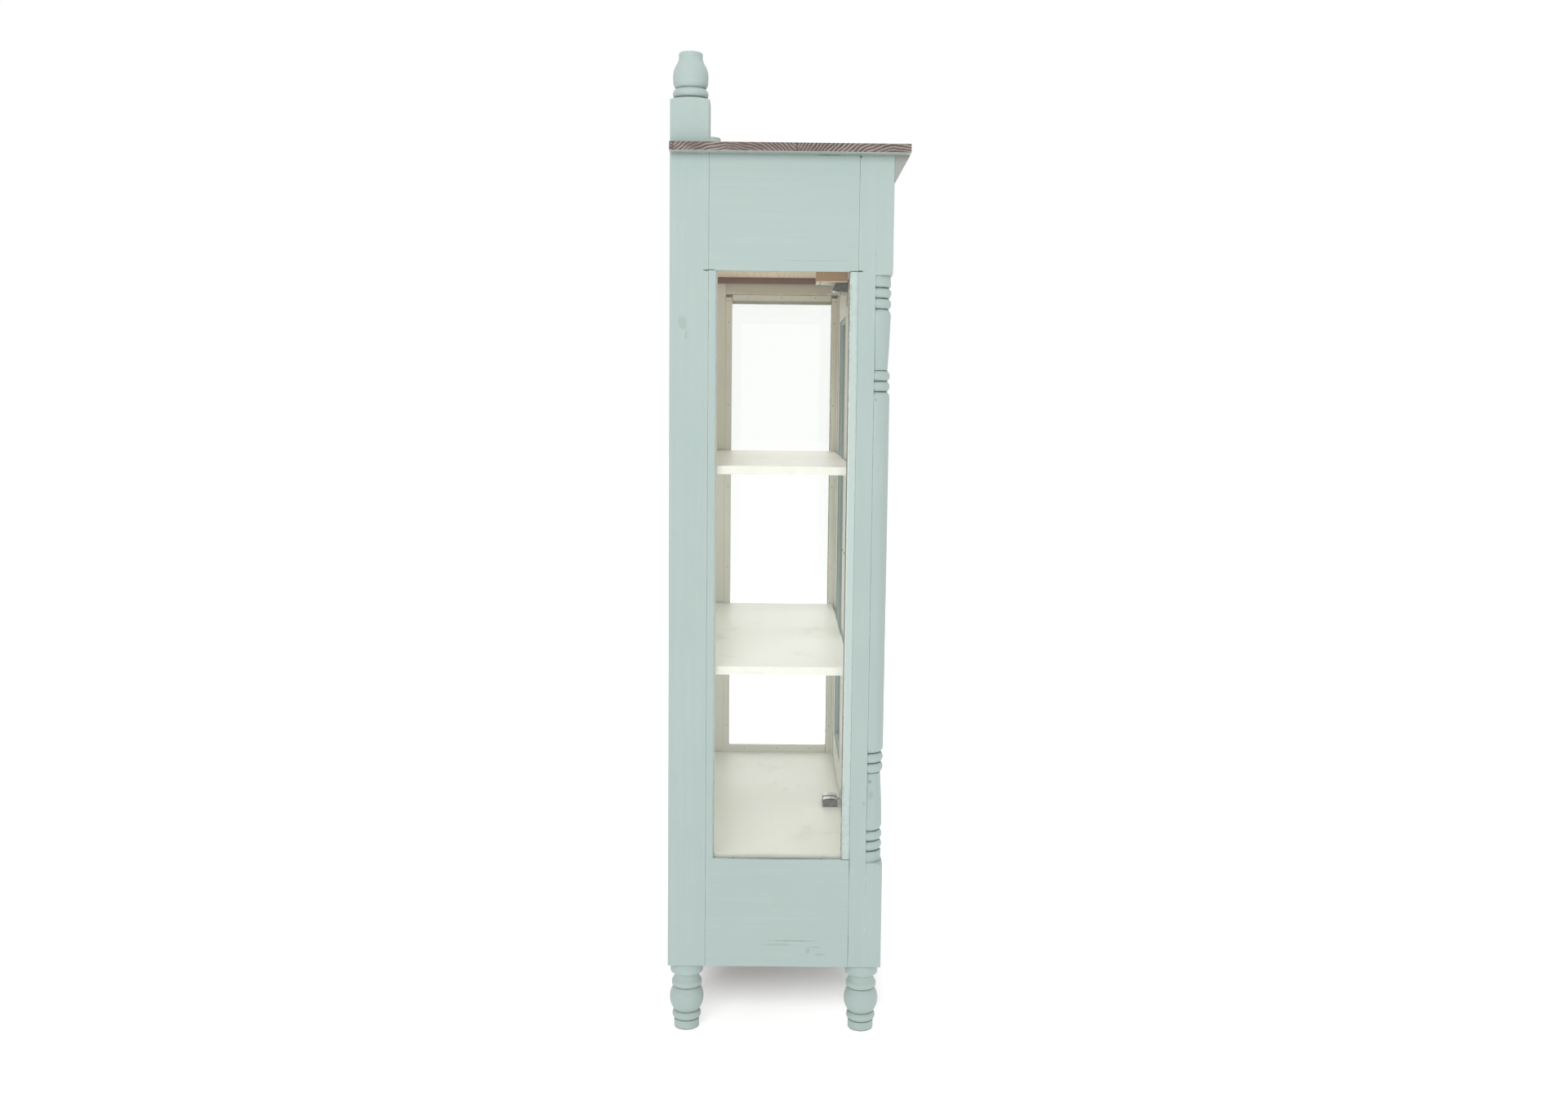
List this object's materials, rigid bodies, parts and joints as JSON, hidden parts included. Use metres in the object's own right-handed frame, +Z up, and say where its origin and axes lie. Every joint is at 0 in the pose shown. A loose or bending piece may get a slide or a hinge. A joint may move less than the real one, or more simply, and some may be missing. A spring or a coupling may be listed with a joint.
{
  "type": "china cabinet",
  "caption": "Tall painted display cabinet with two glazed hinged doors, glazed sides, fixed shelves, split-turned corner columns, turned legs and rear finials.",
  "frame": {"origin": "on the floor under the centre of the bounding box", "axes": "+Z up, front with the doors towards -Y, +X to the viewer's right"},
  "size_m": [1.018, 0.45, 1.9033],
  "materials": {
    "painted_wood": "satin duck-egg green paint, lightly worn",
    "cream_wood": "satin cream-white paint",
    "stained_wood": "limed grey-brown stain, matt",
    "raw_wood": "unfinished brown wood",
    "clear_glass": "clear, polished",
    "dark_metal": "dark grey, satin",
    "aged_brass": "aged, dull"
  },
  "bodies": {
    "cabinet": {"back_panel": "cream_wood", "base_board": "raw_wood", "catch_block": "raw_wood", "ceiling_board": "raw_wood", "ceiling_cleats": "raw_wood", "crown_moulding": "painted_wood", "door_header_rail": "painted_wood", "floor_board": "cream_wood", "floor_catch": "dark_metal", "frieze_board": "painted_wood", "front_bottom_rail": "painted_wood", "front_left_leg": "painted_wood", "front_right_leg": "painted_wood", "gallery_board": "painted_wood", "left_finial": "painted_wood", "left_front_post": "painted_wood", "left_hinge_pins": "aged_brass", "left_post_hinge_leaves": "aged_brass", "left_rear_post": "painted_wood", "left_side_beads": "cream_wood", "left_side_bottom_rail": "painted_wood", "left_side_glass": "clear_glass", "left_side_strips": "painted_wood", "left_side_top_rail": "painted_wood", "left_split_column": "painted_wood", "lower_shelf": "cream_wood", "rear_left_leg": "painted_wood", "rear_right_leg": "painted_wood", "right_finial": "painted_wood", "right_front_post": "painted_wood", "right_hinge_pins": "aged_brass", "right_post_hinge_leaves": "aged_brass", "right_rear_post": "painted_wood", "right_side_beads": "cream_wood", "right_side_bottom_rail": "painted_wood", "right_side_glass": "clear_glass", "right_side_strips": "painted_wood", "right_side_top_rail": "painted_wood", "right_split_column": "painted_wood", "shelf_bearers": "cream_wood", "top_board": "stained_wood", "top_catch": "dark_metal", "upper_shelf": "cream_wood"},
    "left_door": {"left_door_hinge_stile": "painted_wood", "left_door_meeting_stile": "painted_wood", "left_door_top_rail": "painted_wood", "left_door_bottom_rail": "painted_wood", "left_door_glass": "clear_glass", "left_door_beads": "cream_wood", "left_door_knob": "aged_brass", "left_door_hinge_leaves": "aged_brass"},
    "right_door": {"right_door_hinge_stile": "painted_wood", "right_door_meeting_stile": "painted_wood", "right_door_top_rail": "painted_wood", "right_door_bottom_rail": "painted_wood", "right_door_glass": "clear_glass", "right_door_beads": "cream_wood", "right_door_knob": "aged_brass", "right_door_hinge_leaves": "aged_brass"}
  },
  "joints": [
    {"name": "left_door_hinge", "type": "hinge", "parent": "cabinet", "child": "left_door", "pos_m": [-0.4157, -0.15955, 0.93], "axis": [0, 0, -1], "range_deg": [0, 95]},
    {"name": "right_door_hinge", "type": "hinge", "parent": "cabinet", "child": "right_door", "pos_m": [0.4157, -0.15955, 0.93], "axis": [0, 0, 1], "range_deg": [0, 95]}
  ]
}
